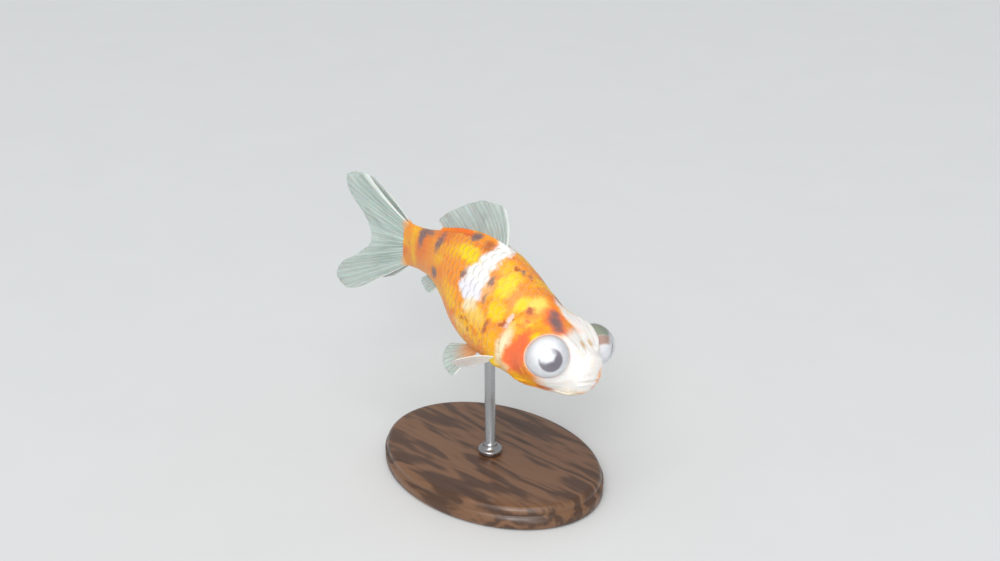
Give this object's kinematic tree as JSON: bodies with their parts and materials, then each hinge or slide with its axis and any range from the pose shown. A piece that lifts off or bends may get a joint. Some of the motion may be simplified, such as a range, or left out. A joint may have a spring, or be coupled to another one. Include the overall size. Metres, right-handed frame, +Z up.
{
  "type": "telescope goldfish model on stand",
  "caption": "Young calico telescope-eyed goldfish with a twin tail, posed swimming nose down, held by a slim rod on an oval wooden base.",
  "frame": {"origin": "middle of the oval base's flat underside, which rests on the floor", "axes": "+Z up, +X towards the fish's nose, +Y to the fish's left"},
  "size_m": [0.0729, 0.038, 0.0603],
  "materials": {
    "head_skin": "white flesh-coloured skin, semi-gloss",
    "jaw_skin": "white flesh-coloured skin, semi-gloss",
    "gill_cover": "red-orange skin with a pearly edge",
    "eye": "silvery eyeball with a clear, glossy front",
    "trunk_skin": "orange calico skin with fine scales",
    "tail_skin": "deep orange skin",
    "fin": "thin, pale, translucent fin",
    "walnut": "satin lacquer",
    "steel": "fine brushed"
  },
  "bodies": {
    "root": {"head": "head_skin", "lower_jaw": "jaw_skin", "gill_cover_left": "gill_cover", "gill_cover_right": "gill_cover", "eye_left": "eye", "eye_right": "eye", "trunk": "trunk_skin", "tail": "tail_skin", "dorsal_fin": "fin", "pectoral_fin_left": "fin", "pectoral_fin_right": "fin", "pelvic_fin_left": "fin", "pelvic_fin_right": "fin", "anal_fin_left": "fin", "anal_fin_right": "fin", "caudal_fin_left": "fin", "caudal_fin_right": "fin", "stand_base": "walnut", "stand_rod": "steel"}
  },
  "joints": []
}
